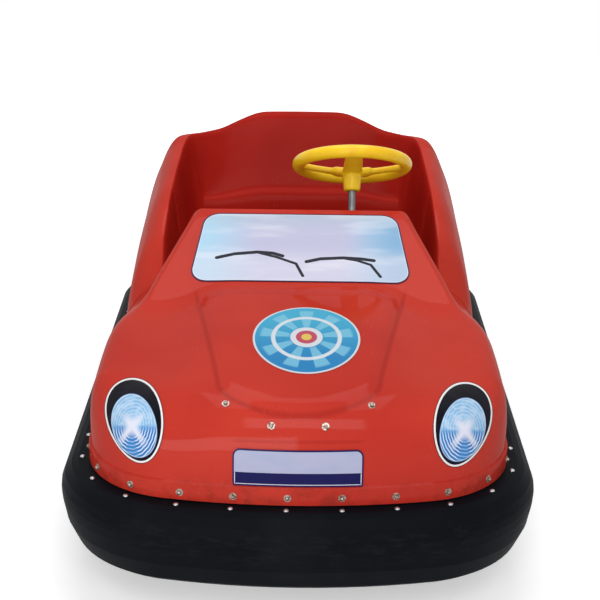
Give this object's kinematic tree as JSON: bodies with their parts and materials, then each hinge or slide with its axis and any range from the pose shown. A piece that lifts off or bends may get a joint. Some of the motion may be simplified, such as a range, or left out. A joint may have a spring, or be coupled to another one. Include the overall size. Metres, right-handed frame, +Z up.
{
  "type": "two-seat battery bumper car",
  "caption": "Fairground bumper car: open moulded body with bench, rubber bumper ring all round, steered drive wheel in front, free wheels behind, steering wheel and linkage.",
  "frame": {"origin": "bottom centre of the bounding box, on the floor under the middle of the car", "axes": "+Z up, front of the car towards -Y, the car's left side towards +X"},
  "size_m": [1.1498, 1.8876, 0.8188],
  "materials": {
    "red_moulding": "gloss",
    "rubber": "matt",
    "tyre": "matt",
    "yellow_plastic": "gloss",
    "black_steel": "satin",
    "zinc_steel": "satin",
    "screen_print": "gloss",
    "lamp_print": "gloss",
    "lens_print": "gloss",
    "plate_print": "gloss",
    "sticker_print": "gloss",
    "cast": "satin",
    "battery": "matt"
  },
  "bodies": {
    "chassis": {"body_shell": "red_moulding", "cockpit_tub": "red_moulding", "dash_panel": "red_moulding", "windscreen_panel": "screen_print", "headlamp_field_left": "lamp_print", "headlamp_field_right": "lamp_print", "headlamp_lens_left": "lens_print", "headlamp_lens_right": "lens_print", "number_plate": "plate_print", "bonnet_sticker": "sticker_print", "bumper_rubber": "rubber", "bumper_band": "zinc_steel", "frame_rail_left": "black_steel", "frame_rail_right": "black_steel", "cross_bar_front": "black_steel", "cross_bar_bulkhead": "black_steel", "cross_bar_seat": "black_steel", "cross_bar_rear": "black_steel", "floor_plate": "black_steel", "battery_block": "battery", "foot_pedal": "black_steel", "drive_bridge": "black_steel", "column_bracket": "black_steel", "steering_gearbox": "cast", "rear_axle": "zinc_steel", "axle_bracket_left": "black_steel", "axle_bracket_right": "black_steel"},
    "steering_column": {"steering_wheel": "yellow_plastic", "steering_shaft": "zinc_steel"},
    "drop_arm": {"drop_arm": "zinc_steel"},
    "drag_link": {"drag_link": "zinc_steel"},
    "drive_head": {"drive_fork": "zinc_steel", "kingpin_arm": "zinc_steel"},
    "drive_wheel": {"drive_hub": "cast", "drive_tyre": "tyre"},
    "rear_wheel_left": {"rear_hub_left": "cast", "rear_tyre_left": "tyre"},
    "rear_wheel_right": {"rear_hub_right": "cast", "rear_tyre_right": "tyre"}
  },
  "joints": [
    {"name": "steering", "type": "hinge", "parent": "chassis", "child": "steering_column", "pos_m": [0.139, 0.184, 0.739], "axis": [0, 0.4226, 0.9063], "range_deg": [-50, 50]},
    {"name": "drop_arm_turn", "type": "hinge", "parent": "chassis", "child": "drop_arm", "pos_m": [0.139, -0.078, 0.353], "axis": [0, 0, 1], "range_deg": [-50, 50]},
    {"name": "drag_link_pivot", "type": "hinge", "parent": "drop_arm", "child": "drag_link", "pos_m": [0.22485, -0.105, 0.364], "axis": [0, 0, 1], "range_deg": [-50, 50]},
    {"name": "drive_head_turn", "type": "hinge", "parent": "chassis", "child": "drive_head", "pos_m": [0, -0.52, 0.3], "axis": [0, 0, 1], "range_deg": [-50, 50]},
    {"name": "drive_wheel_roll", "type": "hinge", "parent": "drive_head", "child": "drive_wheel", "pos_m": [0, -0.52, 0.125], "axis": [1, 0, 0], "continuous": true},
    {"name": "rear_wheel_left_roll", "type": "hinge", "parent": "chassis", "child": "rear_wheel_left", "pos_m": [0.33, 0.48, 0.1], "axis": [1, 0, 0], "continuous": true},
    {"name": "rear_wheel_right_roll", "type": "hinge", "parent": "chassis", "child": "rear_wheel_right", "pos_m": [-0.33, 0.48, 0.1], "axis": [1, 0, 0], "continuous": true}
  ],
  "couplings": [
    {"joint": "drop_arm_turn", "follows": "steering", "ratio": 1},
    {"joint": "drag_link_pivot", "follows": "steering", "ratio": -1},
    {"joint": "drive_head_turn", "follows": "steering", "ratio": 1}
  ]
}
